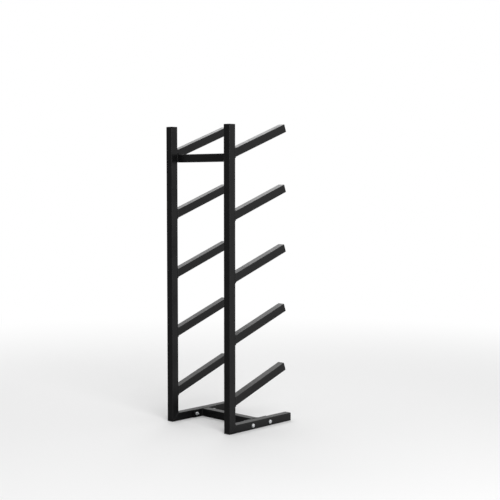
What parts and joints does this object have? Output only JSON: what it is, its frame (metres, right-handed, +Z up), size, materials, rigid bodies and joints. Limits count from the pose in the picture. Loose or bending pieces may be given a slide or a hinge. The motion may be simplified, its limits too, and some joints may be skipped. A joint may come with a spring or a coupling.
{
  "type": "storage rack",
  "caption": "Freestanding welded square-tube storage rack: pairs of rearward arms raised at an angle, with long feet, an upper crossbar and a bolted floor crossbar.",
  "frame": {"origin": "centre of the bounding box at floor level, on the underside of the feet", "axes": "+Z up, -Y the side the uprights stand on, +Y the way the arms and feet reach, +X from the left frame to the right frame seen from -Y"},
  "size_m": [0.2954, 0.28, 0.9523],
  "materials": {
    "black_powder_coat": "semi-gloss black powder coat",
    "end_cap_plastic": "matt black moulded plastic",
    "zinc_fastener": "bright zinc plate"
  },
  "bodies": {
    "root": {"upright_left": "black_powder_coat", "upright_right": "black_powder_coat", "foot_left": "black_powder_coat", "foot_right": "black_powder_coat", "arm_left_1": "black_powder_coat", "arm_left_2": "black_powder_coat", "arm_left_3": "black_powder_coat", "arm_left_4": "black_powder_coat", "arm_left_5": "black_powder_coat", "arm_right_1": "black_powder_coat", "arm_right_2": "black_powder_coat", "arm_right_3": "black_powder_coat", "arm_right_4": "black_powder_coat", "arm_right_5": "black_powder_coat", "crossbar_top": "black_powder_coat", "crossbar_base": "black_powder_coat", "end_plate_left": "black_powder_coat", "end_plate_right": "black_powder_coat", "cap_upright_left": "end_cap_plastic", "cap_upright_right": "end_cap_plastic", "cap_foot_left": "end_cap_plastic", "cap_foot_right": "end_cap_plastic", "cap_arm_left_1": "end_cap_plastic", "cap_arm_left_2": "end_cap_plastic", "cap_arm_left_3": "end_cap_plastic", "cap_arm_left_4": "end_cap_plastic", "cap_arm_left_5": "end_cap_plastic", "cap_arm_right_1": "end_cap_plastic", "cap_arm_right_2": "end_cap_plastic", "cap_arm_right_3": "end_cap_plastic", "cap_arm_right_4": "end_cap_plastic", "cap_arm_right_5": "end_cap_plastic", "bolt_left_1": "zinc_fastener", "bolt_left_2": "zinc_fastener", "bolt_right_1": "zinc_fastener", "bolt_right_2": "zinc_fastener", "nut_left_1": "zinc_fastener", "nut_left_2": "zinc_fastener", "nut_right_1": "zinc_fastener", "nut_right_2": "zinc_fastener"}
  },
  "joints": []
}
